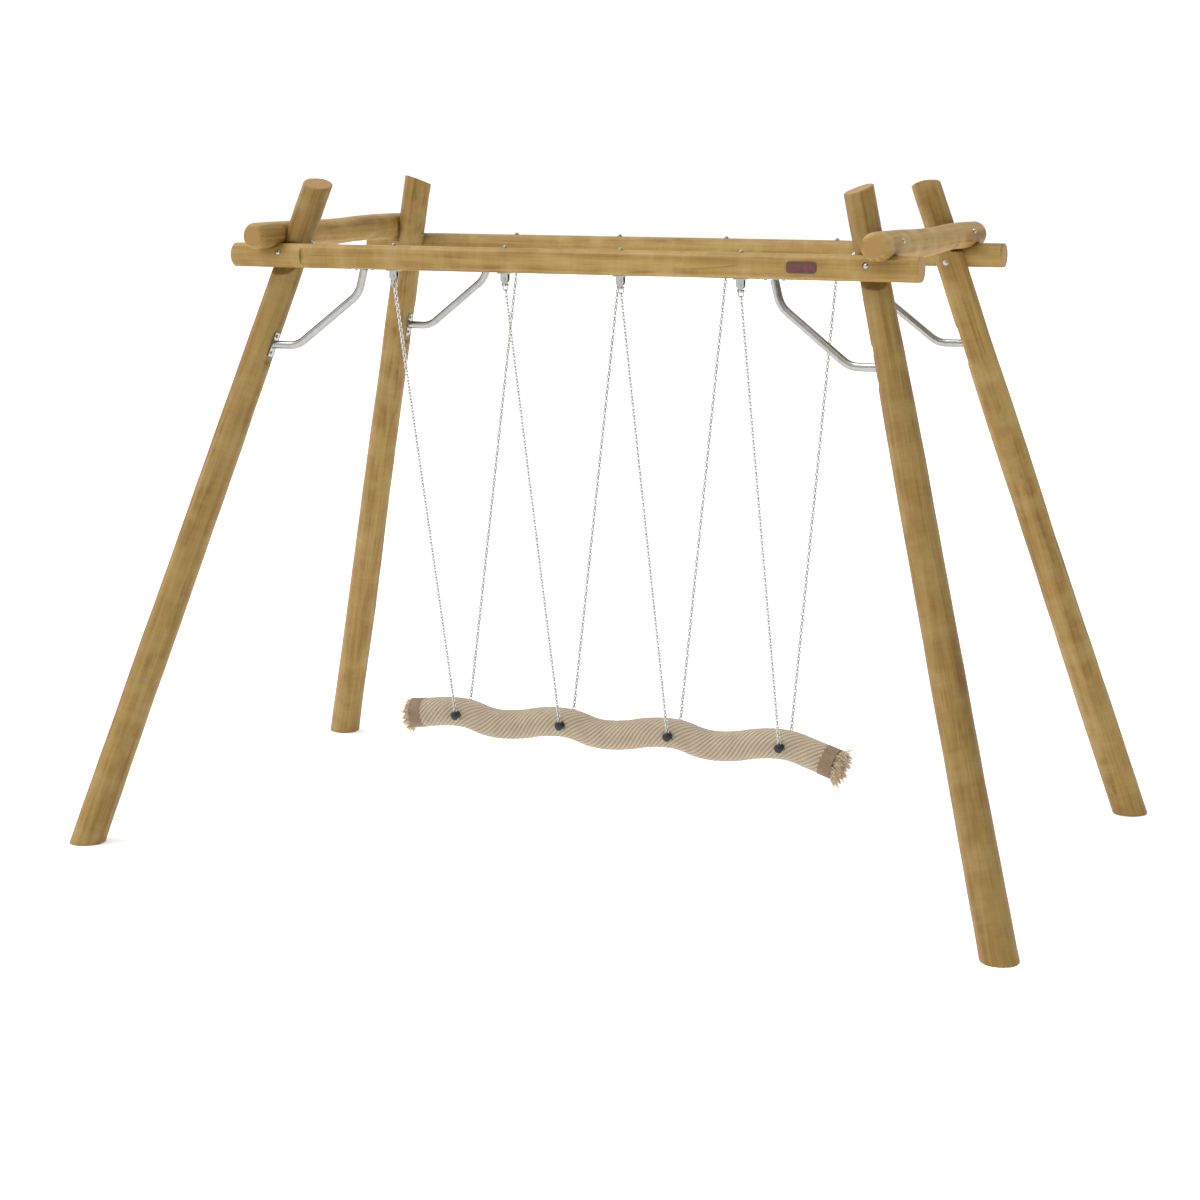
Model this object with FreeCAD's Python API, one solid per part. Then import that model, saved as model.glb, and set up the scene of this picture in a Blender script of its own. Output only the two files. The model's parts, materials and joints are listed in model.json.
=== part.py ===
import FreeCAD, Part
import math
import os

# A log swing with a rope seat. Four splayed log legs carry two beams and two cross logs,
# and eight chains hang in four V pairs from the beams down to one thick rope.
# X runs along the beams, Y across them, Z up. The origin is on the ground in the middle.
# All sizes are in millimetres.

# Driving dimensions: legs
FRAME_HEIGHT = 3000.0
FOOT_X = 2156.0
FOOT_Y = 1219.5
LEG_TOP_X = 1282.0
LEG_TOP_Y = 485.5
LEG_FOOT_R = 78.3
LEG_TOP_R = 65.0
LEG_TOP_BEVEL_X = 0.27
LEG_TOP_BEVEL_Y = 0.23
LEG_TOP_BEVEL_Z = 0.935

# Driving dimensions: beams and cross logs
BEAM_DROP = 318.0  # leg top down to the beam's axis
BEAM_R = 58.5
BEAM_FLAT_DEPTH = 5.0  # planed off the top and the underside
BEAM_OUTSET = 73.7  # leg axis out to the beam's axis
FRONT_BEAM_ENDS = (-1631.0, 1605.0)
REAR_BEAM_ENDS = (-1628.0, 1615.0)
BEAM_END_BEVEL = 7.0
FRONT_FACE_START_X = -1270.0  # the front beam is planed from here to its right end
FRONT_FACE_DEPTH = 14.0
BEAM_SEAT_RUN_OUT_R = 90.0
BEAM_SEAT_RUN_OUT_LIFT = 12.0
CROSS_LOG_R = 59.5
CROSS_LOG_SEAT_DEPTH = 20.0
CROSS_LOG_OUTSET = 93.0
LEFT_LOG_ENDS = (-815.0, 760.0)
RIGHT_LOG_ENDS = (-775.0, 770.0)
# How a crooked log's axis rises or falls: (share of its length from the front, height above CROSS_LOG_Z)
LEFT_LOG_BENDS = [(0.0, -5.0), (0.2, -6.0), (0.45, -6.0), (0.65, 2.0), (0.82, 2.0), (1.0, 0.0)]
RIGHT_LOG_BENDS = [(0.0, -4.0), (0.2, -8.0), (0.45, -13.0), (0.66, -6.0), (0.8, -3.0), (0.92, -8.0), (1.0, -9.0)]
LOG_NOTCH_RUN_OUT = 14.0

# Driving dimensions: bolts through the logs
BOLT_R = 6.0
BOLT_HOLE_GAP = 0.5
NUT_R = 10.5
NUT_H = 9.0
DOME_HEAD_R = 11.0
DOME_HEAD_H = 8.0
WASHER_R = 13.0
WASHER_T = 2.5
SPOT_FACE_R = 14.5
SPOT_FACE_DEPTH = 6.5
THREAD_STICK_OUT = 4.0
BEAM_BOLT_DROP = 15.0  # below the beam's axis, on the leg's axis
LOG_BOLT_DROP = 24.0  # below the cross log's axis, on the leg's axis

# Driving dimensions: tube braces
BRACE_R = 19.0
BRACE_WALL = 2.5
BRACE_BEND_R = 120.0
BRACE_BEAM_X = 970.0
BRACE_DROP = 110.0
BRACE_LEAN = 28.0
BRACE_REACH = 312.0
BRACE_LEG_DROP = 350.5
PLATE_L = 112.0
PLATE_W = 40.0
PLATE_T = 5.0
POCKET_MARGIN = 6.0
PLATE_SCREW_OFFSET = 40.0
SCREW_R = 4.0
SCREW_L = 50.0
SCREW_HEAD_R = 7.5
SCREW_HEAD_H = 5.5
LEG_FLAT_DEPTH = 12.0
LEG_FLAT_L = 180.0

# Driving dimensions: hangers
HANGER_SPACING = 547.0
HANGER_BASE = 52.0
HANGER_BASE_T = 5.0
CHEEK_W = 34.0
CHEEK_T = 5.0
CHEEK_GAP = 18.0
PIVOT_DROP = 28.5  # beam underside down to the hanger pin
PIN_R = 6.0
PIN_HEAD_R = 8.5
PIN_HEAD_T = 3.0
RUNNING_GAP = 0.06
HANGER_BOLT_R = 5.0
HANGER_BOLT_HEAD_R = 8.0
HANGER_BOLT_HEAD_H = 4.5
HANGER_NUT_R = 9.0
HANGER_NUT_H = 4.5
HANGER_WASHER_R = 13.0
EYE_R = 11.0
EYE_W = 15.0
EYE_TAB_W = 9.0
EYE_TAB_R = 8.5
SHACKLE_DROP = 24.0  # hanger pin down to the shackle pin
SHACKLE_PIN_R = 4.0
SHACKLE_WIRE_R = 3.5
SHACKLE_HALF_W = 11.5
SHACKLE_L = 16.0
SHACKLE_EAR_R = 7.0
SHACKLE_EAR_W = 6.0

# Driving dimensions: chains
LINK_WIRE_R = 2.5
LINK_PITCH = 14.7
LINK_OUTER_W = 17.5
LINK_GAP = 0.2

# Driving dimensions: rope seat
SEAT_Z = 480.0
ROPE_R = 69.0
ROPE_SAG = 39.0
LEFT_END_SLOPE = 7.5
RIGHT_END_SLOPE = 17.5
CREST_LEAD = 25.0  # each crest stands this far left of its bolt
FALL_RUN = 228.0  # crest to the dip on its right
LEFT_OVERHANG = 258.0  # outer bolt out to the end of the band
RIGHT_OVERHANG = 245.0
BAND_L = 60.0
BAND_T = 1.8
LEFT_FRAY_L = 66.0
RIGHT_FRAY_L = 78.0
FRAY_ROOT_R = 63.0
FRAY_TIP_R = 82.0
SEAT_BOLT_R = 6.0
SEAT_SPOT_DEPTH = 3.0
SEAT_WASHER_R = 22.0
SEAT_WASHER_T = 3.0
SPACER_R = 10.0
SPACER_L = 11.2
SIDE_GAP = 0.4
OPEN_PIVOT_GAP = 0.6
SEAT_EYE_T = 3.5
SEAT_EYE_R = 14.0
SEAT_EYE_HOLE_R = 6.0
SEAT_EYE_TOP_R = 10.0
SEAT_EYE_RISE = 26.0
SEAT_EYE_LINK_GAP = 1.8
CAP_WASHER_R = 17.0
CAP_WASHER_T = 2.0
CAP_R = 20.5
CAP_H = 12.0
CAP_COVER = 4.0

# Driving dimensions: name plate
LABEL_X = 1102.0
LABEL_L = 132.0
LABEL_H = 48.0
LABEL_T = 4.0
LABEL_CORNER_R = 16.0
INLAY_L = 106.0
INLAY_H = 31.0
INLAY_T = 1.0
LABEL_SCREW_R = 3.0
LABEL_SCREW_HEAD_R = 4.5
LABEL_SCREW_L = 18.0
LABEL_SCREW_HEAD_H = 1.5

FIT_GAP = 0.3  # between logs that are cut to each other
FAR = 4000.0  # larger than the whole swing

# Worked out from the sizes above
BEAM_Z = FRAME_HEIGHT - BEAM_DROP
BEAM_HALF_H = BEAM_R - BEAM_FLAT_DEPTH
BEAM_TOP_Z = BEAM_Z + BEAM_HALF_H
BEAM_UNDER_Z = BEAM_Z - BEAM_HALF_H
CROSS_LOG_Z = BEAM_TOP_Z + CROSS_LOG_R - CROSS_LOG_SEAT_DEPTH
PIVOT_Z = BEAM_UNDER_Z - PIVOT_DROP
SHACKLE_Z = PIVOT_Z - SHACKLE_DROP
HANGER_XS = [HANGER_SPACING * (i - 1.5) for i in range(4)]
SEAT_WASHER_Y = ROPE_R - SEAT_SPOT_DEPTH
SPACER_Y = SEAT_WASHER_Y + SEAT_WASHER_T
SEAT_EYE_Y = SPACER_Y + SPACER_L + SIDE_GAP + SEAT_EYE_T / 2
CAP_WASHER_Y = SEAT_EYE_Y + SEAT_EYE_T / 2 + SIDE_GAP
CAP_Y = CAP_WASHER_Y + CAP_WASHER_T
CORNERS = [(-1, -1, "front_left"), (1, -1, "front_right"), (-1, 1, "rear_left"), (1, 1, "rear_right")]

UP = FreeCAD.Vector(0, 0, 1)
ALONG = FreeCAD.Vector(1, 0, 0)
ACROSS = FreeCAD.Vector(0, 1, 0)


def point(x, y, z):
    return FreeCAD.Vector(x, y, z)


def save(node, solids):
    """Writes one sub-part, which may be several separate solids."""
    shape = solids[0] if len(solids) == 1 else Part.makeCompound(solids)
    shape.exportStep(f"parts/{node}.step")
    print(node, len(shape.Solids), round(shape.Volume / 1000), "cm3", shape.isValid())


def placed(shape, origin, z_dir, x_dir):
    """Moves a shape made at the origin so that its Z and X point along z_dir and x_dir."""
    turn = FreeCAD.Rotation(x_dir, z_dir.cross(x_dir), z_dir, "ZXY")
    move = FreeCAD.Placement(origin, turn)
    return shape.transformed(move.toMatrix(), True)


def rod(radius, start, end):
    axis = end - start
    return Part.makeCylinder(radius, axis.Length, start, axis)


def disc(radius, thickness, start, direction):
    return Part.makeCylinder(radius, thickness, start, direction)


def block(length, width, height, origin, z_dir, x_dir):
    """A box centred on origin in its own X and Y, which rises from origin along z_dir."""
    box = Part.makeBox(length, width, height, point(-length / 2, -width / 2, 0))
    return placed(box, origin, z_dir, x_dir)


def dome(radius, height, bore_r, bore_depth, base, direction):
    """A low dome on a short rim, with a blind bore in its base."""
    rim = height * 0.3
    crown = height - rim
    sphere_r = (radius ** 2 + crown ** 2) / (2 * crown)
    ball = Part.makeSphere(sphere_r, point(0, 0, height - sphere_r))
    body = Part.makeCylinder(radius, height).common(ball)
    body = body.cut(Part.makeCylinder(bore_r, bore_depth))
    side = ALONG if abs(direction.dot(ALONG)) < 0.9 else ACROSS
    side = (side - direction * side.dot(direction)).normalize()
    return placed(body, base, direction, side)


def hex_prism(radius, height, base, direction):
    corners = [point(radius * math.cos(math.radians(60 * i)), radius * math.sin(math.radians(60 * i)), 0)
               for i in range(7)]
    prism = Part.Face(Part.makePolygon(corners)).extrude(point(0, 0, height))
    side = ALONG if abs(direction.dot(ALONG)) < 0.9 else ACROSS
    side = (side - direction * side.dot(direction)).normalize()
    return placed(prism, base, direction, side)


def washer(radius, bore_r, thickness, base, direction):
    return disc(radius, thickness, base, direction).cut(disc(bore_r, thickness, base, direction))


def arc_edge(start, middle, end):
    return Part.Arc(start, middle, end).toShape()


def swept(edges, radius):
    """A round bar along tangent lines and arcs."""
    wire = Part.Wire(edges)
    start = edges[0].Vertexes[0].Point
    heading = edges[0].tangentAt(edges[0].FirstParameter)
    profile = Part.Face(Part.Wire(Part.makeCircle(radius, start, heading)))
    return wire.makePipe(profile)


def rounded_path(corners, bend_r):
    """Straight runs between the corners, joined by tangent arcs of one radius."""
    edges = []
    start = corners[0]
    for before, corner, after in zip(corners, corners[1:], corners[2:]):
        back = (before - corner).normalize()
        ahead = (after - corner).normalize()
        half = back.getAngle(ahead) / 2
        trim = bend_r / math.tan(half)
        middle = (back + ahead).normalize()
        bend_in = corner + back * trim
        bend_out = corner + ahead * trim
        bend_middle = corner + middle * (bend_r / math.sin(half) - bend_r)
        edges.append(Part.makeLine(start, bend_in))
        edges.append(arc_edge(bend_in, bend_middle, bend_out))
        start = bend_out
    edges.append(Part.makeLine(start, corners[-1]))
    return edges


# Legs: where their axes run, and what is cut out of them

def leg_point(sx, sy, z):
    share = z / FRAME_HEIGHT
    x = FOOT_X + (LEG_TOP_X - FOOT_X) * share
    y = FOOT_Y + (LEG_TOP_Y - FOOT_Y) * share
    return point(sx * x, sy * y, z)


def leg_heading(sx, sy):
    return (leg_point(sx, sy, FRAME_HEIGHT) - leg_point(sx, sy, 0)).normalize()


def leg_radius(z):
    return LEG_FOOT_R + (LEG_TOP_R - LEG_FOOT_R) * z / FRAME_HEIGHT


BEAM_Y = leg_point(1, 1, BEAM_Z).y + BEAM_OUTSET
CROSS_LOG_X = leg_point(1, 1, CROSS_LOG_Z).x + CROSS_LOG_OUTSET
LOG_NOTCH_X = (leg_point(1, 1, CROSS_LOG_Z).x + leg_radius(CROSS_LOG_Z) + CROSS_LOG_X - CROSS_LOG_R) / 2


def square_to_leg(sx, sy, direction):
    """The direction turned square to the leg's axis."""
    heading = leg_heading(sx, sy)
    return (direction - heading * direction.dot(heading)).normalize()


def beam_bolt_line(sx, sy):
    """Middle and outward direction of the bolt that holds a beam to its leg."""
    heading = leg_heading(sx, sy)
    outward = point(0, heading.z, -heading.y)
    outward = outward.normalize() * (1 if outward.y * sy > 0 else -1)
    return leg_point(sx, sy, BEAM_Z - BEAM_BOLT_DROP), outward


def log_bolt_line(sx, sy):
    """Middle and outward direction of the bolt that holds a cross log to its leg."""
    heading = leg_heading(sx, sy)
    outward = point(heading.z, 0, -heading.x)
    outward = outward.normalize() * (1 if outward.x * sx > 0 else -1)
    return leg_point(sx, sy, CROSS_LOG_Z - LOG_BOLT_DROP), outward


def beam_bolt_seats(sx, sy):
    """Distances from the leg's axis to the inner and outer spot faces of a beam bolt."""
    middle, outward = beam_bolt_line(sx, sy)
    face_depth = FRONT_FACE_DEPTH if (sx, sy) == (1, -1) else 0
    outer = (BEAM_Y + BEAM_R - face_depth - abs(middle.y)) / abs(outward.y) - SPOT_FACE_DEPTH
    return leg_radius(middle.z) - SPOT_FACE_DEPTH / 2, outer


def log_bolt_seats(sx, sy):
    middle, outward = log_bolt_line(sx, sy)
    outer = (CROSS_LOG_X + CROSS_LOG_R - abs(middle.x)) / abs(outward.x) - SPOT_FACE_DEPTH
    return leg_radius(middle.z) - SPOT_FACE_DEPTH / 2, outer


def bolt_cutters(line, seats):
    """The hole and the two spot faces for one bolt through two logs."""
    middle, outward = line
    inner, outer = seats
    hole = rod(BOLT_R + BOLT_HOLE_GAP, middle - outward * (inner + BEAM_R), middle + outward * (outer + BEAM_R))
    inner_face = rod(SPOT_FACE_R, middle - outward * inner, middle - outward * (inner + BEAM_R))
    outer_face = rod(SPOT_FACE_R, middle + outward * outer, middle + outward * (outer + BEAM_R))
    return [hole, inner_face, outer_face]


def brace_frame(sx, sy):
    """Where a brace meets its leg's axis, its run towards the beam's middle, and the leg plate's normal."""
    at_leg = leg_point(sx, sy, BEAM_UNDER_Z - BRACE_LEG_DROP)
    at_beam = point(sx * BRACE_BEAM_X, sy * BEAM_Y, at_leg.z)
    inward = (at_beam - at_leg).normalize()
    return at_leg, at_beam, inward, square_to_leg(sx, sy, inward)


def leg_flat_centre(sx, sy, height=0):
    """Where the brace's axis meets the flat on the leg, or a plane at this height above the flat."""
    at_leg, _, inward, normal = brace_frame(sx, sy)
    flat_depth = leg_radius(at_leg.z) - LEG_FLAT_DEPTH
    return at_leg + inward * ((flat_depth + height) / inward.dot(normal))


def leg_screw_lines(sx, sy):
    """Start on the plate's outer face, and direction into the leg, of both screws."""
    _, _, _, normal = brace_frame(sx, sy)
    heading = leg_heading(sx, sy)
    face = leg_flat_centre(sx, sy, PLATE_T)
    return [(face + heading * offset, normal * -1) for offset in (-PLATE_SCREW_OFFSET, PLATE_SCREW_OFFSET)]


def beam_screw_lines(sx, sy):
    centre = point(sx * BRACE_BEAM_X, sy * BEAM_Y, BEAM_UNDER_Z)
    return [(centre + ALONG * offset, UP) for offset in (-PLATE_SCREW_OFFSET, PLATE_SCREW_OFFSET)]


def screw_hole(line):
    start, direction = line
    return disc(SCREW_R, SCREW_L, start, direction)


def leg(sx, sy):
    heading = leg_heading(sx, sy)
    spare = 3 * LEG_FOOT_R
    taper = (LEG_TOP_R - LEG_FOOT_R) / (leg_point(sx, sy, FRAME_HEIGHT) - leg_point(sx, sy, 0)).Length
    length = (leg_point(sx, sy, FRAME_HEIGHT) - leg_point(sx, sy, 0)).Length + 2 * spare
    foot_r = LEG_FOOT_R - taper * spare
    trunk = Part.makeCone(foot_r, foot_r + taper * length, length, leg_point(sx, sy, 0) - heading * spare, heading)
    top_normal = point(-sx * LEG_TOP_BEVEL_X, sy * LEG_TOP_BEVEL_Y, LEG_TOP_BEVEL_Z).normalize()
    top_side = (ALONG - top_normal * ALONG.dot(top_normal)).normalize()
    below_ground = block(FAR, FAR, FAR, leg_point(sx, sy, 0), UP * -1, ALONG)
    above_top = block(FAR, FAR, FAR, leg_point(sx, sy, FRAME_HEIGHT), top_normal, top_side)
    trunk = trunk.cut([below_ground, above_top])
    seat = disc(BEAM_R + FIT_GAP, FAR, point(-FAR / 2, sy * BEAM_Y, BEAM_Z), ALONG)
    run_out_y = BEAM_Y - BEAM_R + BEAM_SEAT_RUN_OUT_LIFT + BEAM_SEAT_RUN_OUT_R
    run_out = disc(BEAM_SEAT_RUN_OUT_R, FAR, point(-FAR / 2, sy * run_out_y, BEAM_Z), ALONG)
    notch_h = 2 * (CROSS_LOG_R + LOG_NOTCH_RUN_OUT)
    log_notch = block(notch_h, FAR, FAR, point(sx * LOG_NOTCH_X, 0, CROSS_LOG_Z), ALONG * sx, UP)
    _, _, _, normal = brace_frame(sx, sy)
    flat = block(LEG_FLAT_L, FAR, LEG_FOOT_R, leg_flat_centre(sx, sy), normal, heading)
    cutters = [seat, run_out, log_notch, flat]
    cutters += bolt_cutters(beam_bolt_line(sx, sy), beam_bolt_seats(sx, sy))
    cutters += bolt_cutters(log_bolt_line(sx, sy), log_bolt_seats(sx, sy))
    cutters += [screw_hole(line) for line in leg_screw_lines(sx, sy)]
    return trunk.cut(cutters)


def beam(sy, ends):
    x0, x1 = ends
    left = point(x0, sy * BEAM_Y, BEAM_Z)
    right = point(x1, sy * BEAM_Y, BEAM_Z)
    log = rod(BEAM_R, left + ALONG * BEAM_END_BEVEL, right - ALONG * BEAM_END_BEVEL)
    bevel = (BEAM_R - BEAM_END_BEVEL, BEAM_R, BEAM_END_BEVEL)
    log = log.fuse([Part.makeCone(*bevel, left, ALONG), Part.makeCone(*bevel, right, ALONG * -1)])
    faces = block(x1 - x0, 4 * BEAM_R, 2 * BEAM_HALF_H, point((x0 + x1) / 2, sy * BEAM_Y, BEAM_UNDER_Z), UP, ALONG)
    log = log.common(faces)
    cutters = []
    if sy < 0:
        start = point(FRONT_FACE_START_X + FAR / 2, -BEAM_Y - BEAM_R + FRONT_FACE_DEPTH, BEAM_Z)
        cutters.append(block(FAR, FAR, BEAM_R, start, ACROSS * -1, ALONG))
    for sx in (-1, 1):
        cutters += bolt_cutters(beam_bolt_line(sx, sy), beam_bolt_seats(sx, sy))
        pocket_l = PLATE_L + 2 * POCKET_MARGIN
        corner = point(sx * BRACE_BEAM_X, sy * BEAM_Y, BEAM_UNDER_Z)
        cutters.append(block(pocket_l, 4 * BEAM_R, PLATE_T, corner, UP, ALONG))
        cutters += [screw_hole(line) for line in beam_screw_lines(sx, sy)]
    for x in HANGER_XS:
        cutters.append(disc(HANGER_BOLT_R + BOLT_HOLE_GAP, 4 * BEAM_R, point(x, sy * BEAM_Y, BEAM_Z - 2 * BEAM_R), UP))
    if sy < 0:
        cutters += [label_screw_hole(x) for x in label_screw_xs()]
    return log.cut(cutters)


def cross_log(sx, ends, bends):
    y0, y1 = ends
    bent = Part.BSplineCurve()
    bent.interpolate([point(sx * CROSS_LOG_X, y0 + (y1 - y0) * share, CROSS_LOG_Z + rise) for share, rise in bends])
    log = swept([bent.toShape()], CROSS_LOG_R)
    cutters = []
    for sy in (-1, 1):
        seat = disc(BEAM_R + FIT_GAP, FAR, point(-FAR / 2, sy * BEAM_Y, BEAM_Z), ALONG)
        flat_top = block(FAR, 4 * BEAM_R, FAR, point(0, sy * BEAM_Y, BEAM_TOP_Z), UP, ALONG)
        cutters.append(seat.cut(flat_top))
        leg_y = leg_point(sx, sy, CROSS_LOG_Z).y
        notch_w = 2 * (LEG_TOP_R + LOG_NOTCH_RUN_OUT)
        notch = block(notch_w, FAR, FAR, point(sx * LOG_NOTCH_X, leg_y, CROSS_LOG_Z), ALONG * -sx, ACROSS)
        cutters.append(notch)
        cutters += bolt_cutters(log_bolt_line(sx, sy), log_bolt_seats(sx, sy))
    return log.cut(cutters)


# Bolts through two logs: a domed bolt from outside, with a washer at each end and a nut inside

def through_bolt(line, seats):
    middle, outward = line
    inner, outer = seats
    inner_end = middle - outward * (inner + WASHER_T + NUT_H + THREAD_STICK_OUT)
    head_base = middle + outward * (outer + WASHER_T)
    shank = rod(BOLT_R, inner_end, head_base)
    return shank.fuse(dome(DOME_HEAD_R, DOME_HEAD_H, BOLT_R / 2, DOME_HEAD_H / 4, head_base, outward)).removeSplitter()


def through_nut(line, seats):
    middle, outward = line
    base = middle - outward * (seats[0] + WASHER_T)
    nut = hex_prism(NUT_R, NUT_H, base, outward * -1)
    return nut.cut(disc(BOLT_R, NUT_H, base, outward * -1))


def through_washers(line, seats):
    middle, outward = line
    inner, outer = seats
    return [washer(WASHER_R, BOLT_R, WASHER_T, middle - outward * inner, outward * -1),
            washer(WASHER_R, BOLT_R, WASHER_T, middle + outward * outer, outward)]


# Braces: a bent tube between a plate under the beam and a plate on the leg

def brace_tube(sx, sy):
    at_leg, at_beam, inward, normal = brace_frame(sx, sy)
    outward = inward * -1
    top = point(at_beam.x, at_beam.y, BEAM_UNDER_Z)
    upper_bend = point(at_beam.x, at_beam.y, BEAM_UNDER_Z - BRACE_DROP) + outward * BRACE_LEAN
    lower_bend = at_beam + outward * (BRACE_LEAN + BRACE_REACH)
    path = rounded_path([top, upper_bend, lower_bend, at_leg], BRACE_BEND_R)
    tube = swept(path, BRACE_R).cut(swept(path, BRACE_R - BRACE_WALL))
    beyond_plate = block(FAR, FAR, FAR, leg_flat_centre(sx, sy, PLATE_T), normal * -1, leg_heading(sx, sy))
    above_plate = block(FAR, FAR, FAR, point(0, 0, BEAM_UNDER_Z), UP, ALONG)
    return tube.cut([beyond_plate, above_plate])


def leg_plate(sx, sy):
    _, _, _, normal = brace_frame(sx, sy)
    plate = block(PLATE_L, PLATE_W, PLATE_T, leg_flat_centre(sx, sy), normal, leg_heading(sx, sy))
    return plate.cut([screw_hole(line) for line in leg_screw_lines(sx, sy)])


def beam_plate(sx, sy):
    plate = block(PLATE_L, PLATE_W, PLATE_T, point(sx * BRACE_BEAM_X, sy * BEAM_Y, BEAM_UNDER_Z), UP, ALONG)
    return plate.cut([screw_hole(line) for line in beam_screw_lines(sx, sy)])


def plate_screw(line):
    start, direction = line
    shank = disc(SCREW_R, SCREW_L, start, direction)
    return shank.fuse(hex_prism(SCREW_HEAD_R, SCREW_HEAD_H, start, direction * -1)).removeSplitter()


# Hangers: a forked bracket under the beam, its pin, and the bolt up through the beam

def hanger_bracket(x, sy):
    top = point(x, sy * BEAM_Y, BEAM_UNDER_Z)
    base = block(HANGER_BASE, HANGER_BASE, HANGER_BASE_T, top, UP * -1, ALONG)
    solids = []
    for side in (-1, 1):
        middle_y = top.y + side * (CHEEK_GAP + CHEEK_T) / 2
        cheek = block(CHEEK_W, CHEEK_T, PIVOT_DROP, point(x, middle_y, top.z), UP * -1, ALONG)
        round_end = disc(CHEEK_W / 2, CHEEK_T, point(x, middle_y - CHEEK_T / 2, PIVOT_Z), ACROSS)
        solids += [cheek, round_end]
    bracket = base.fuse(solids).removeSplitter()
    pin_hole = disc(PIN_R, HANGER_BASE, point(x, top.y - HANGER_BASE / 2, PIVOT_Z), ACROSS)
    bolt_hole = disc(HANGER_BOLT_R, HANGER_BASE_T, top, UP * -1)
    return bracket.cut([pin_hole, bolt_hole])


def hanger_pin(x, sy):
    half = CHEEK_GAP / 2 + CHEEK_T
    centre = point(x, sy * BEAM_Y, PIVOT_Z)
    pin = rod(PIN_R, centre - ACROSS * half, centre + ACROSS * half)
    heads = [disc(PIN_HEAD_R, PIN_HEAD_T, centre + ACROSS * half, ACROSS),
             disc(PIN_HEAD_R, PIN_HEAD_T, centre - ACROSS * half, ACROSS * -1)]
    return pin.fuse(heads).removeSplitter()


def hanger_bolt(x, sy):
    base = point(x, sy * BEAM_Y, BEAM_UNDER_Z - HANGER_BASE_T)
    top = point(x, sy * BEAM_Y, BEAM_TOP_Z + WASHER_T + HANGER_NUT_H)
    head = disc(HANGER_BOLT_HEAD_R, HANGER_BOLT_HEAD_H, base, UP * -1)
    return rod(HANGER_BOLT_R, base, top).fuse(head).removeSplitter()


def hanger_dome_nut(x, sy):
    base = point(x, sy * BEAM_Y, BEAM_TOP_Z + WASHER_T)
    hexagon = hex_prism(HANGER_NUT_R, HANGER_NUT_H, base, UP)
    crown_base = base + UP * HANGER_NUT_H
    crown = dome(HANGER_NUT_R * 0.85, HANGER_NUT_H, HANGER_BOLT_R / 2, HANGER_NUT_H * 0.1, crown_base, UP)
    return hexagon.fuse(crown).cut(disc(HANGER_BOLT_R, HANGER_NUT_H, base, UP))


def hanger_washer(x, sy):
    return washer(HANGER_WASHER_R, HANGER_BOLT_R, WASHER_T, point(x, sy * BEAM_Y, BEAM_TOP_Z), UP)


# Chain hangings: an eye on the hanger pin, a shackle, the chain and an eye on the seat bolt

def hanger_eye(x, sy):
    centre = point(x, sy * BEAM_Y, PIVOT_Z)
    ring = disc(EYE_R, EYE_W, centre - ACROSS * EYE_W / 2, ACROSS)
    tab_end = disc(EYE_TAB_R, EYE_TAB_W, point(x - EYE_TAB_W / 2, centre.y, SHACKLE_Z), ALONG)
    tab = block(EYE_TAB_W, 2 * EYE_TAB_R, SHACKLE_DROP, centre, UP * -1, ALONG)
    eye = ring.fuse([tab_end, tab])
    bore = disc(PIN_R + RUNNING_GAP, EYE_W + 2 * EYE_R, centre - ACROSS * (EYE_W / 2 + EYE_R), ACROSS)
    cross_bore = disc(SHACKLE_PIN_R + RUNNING_GAP, 2 * EYE_R, point(x - EYE_R, centre.y, SHACKLE_Z), ALONG)
    return eye.cut([bore, cross_bore]).removeSplitter()


def chain_line(x, sy):
    """Shackle pin, the last link's lower end, and the direction down the chain."""
    top = point(x, sy * BEAM_Y, SHACKLE_Z)
    slack = SEAT_EYE_HOLE_R - LINK_WIRE_R - SEAT_EYE_LINK_GAP
    bottom = point(x, sy * SEAT_EYE_Y, SEAT_Z + SEAT_EYE_RISE + slack)
    return top, bottom, (bottom - top).normalize()


def top_shackle(x, sy):
    top, _, down = chain_line(x, sy)
    left = top - ALONG * SHACKLE_HALF_W
    right = top + ALONG * SHACKLE_HALF_W
    bend_left = left + down * SHACKLE_L
    bend_right = right + down * SHACKLE_L
    bow_tip = top + down * (SHACKLE_L + SHACKLE_HALF_W)
    bow = swept([Part.makeLine(left, bend_left), arc_edge(bend_left, bow_tip, bend_right),
                 Part.makeLine(bend_right, right)], SHACKLE_WIRE_R)
    pin_half = SHACKLE_HALF_W + SHACKLE_EAR_W
    pin = rod(SHACKLE_PIN_R, top - ALONG * pin_half, top + ALONG * pin_half)
    ears = [disc(SHACKLE_EAR_R, SHACKLE_EAR_W, side - ALONG * SHACKLE_EAR_W / 2, ALONG) for side in (left, right)]
    return bow.fuse([pin] + ears).removeSplitter()


def link(pitch):
    """One link, standing along Z from its upper end's wire centre down to its lower end's."""
    bend_r = LINK_OUTER_W / 2 - LINK_WIRE_R
    length = pitch + 2 * LINK_WIRE_R
    straight = length - 2 * bend_r
    upper_left = point(-bend_r, 0, -bend_r)
    upper_right = point(bend_r, 0, -bend_r)
    lower_left = upper_left - UP * straight
    lower_right = upper_right - UP * straight
    halves = []
    half_top = [Part.makeLine(lower_left + UP * straight / 2, upper_left),
                arc_edge(upper_left, point(0, 0, 0), upper_right),
                Part.makeLine(upper_right, lower_right + UP * straight / 2)]
    half_low = [Part.makeLine(lower_right + UP * straight / 2, lower_right),
                arc_edge(lower_right, point(0, 0, -length), lower_left),
                Part.makeLine(lower_left, lower_left + UP * straight / 2)]
    for half in (half_top, half_low):
        halves.append(swept(half, LINK_WIRE_R))
    return halves[0].fuse(halves[1]).removeSplitter()


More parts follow.
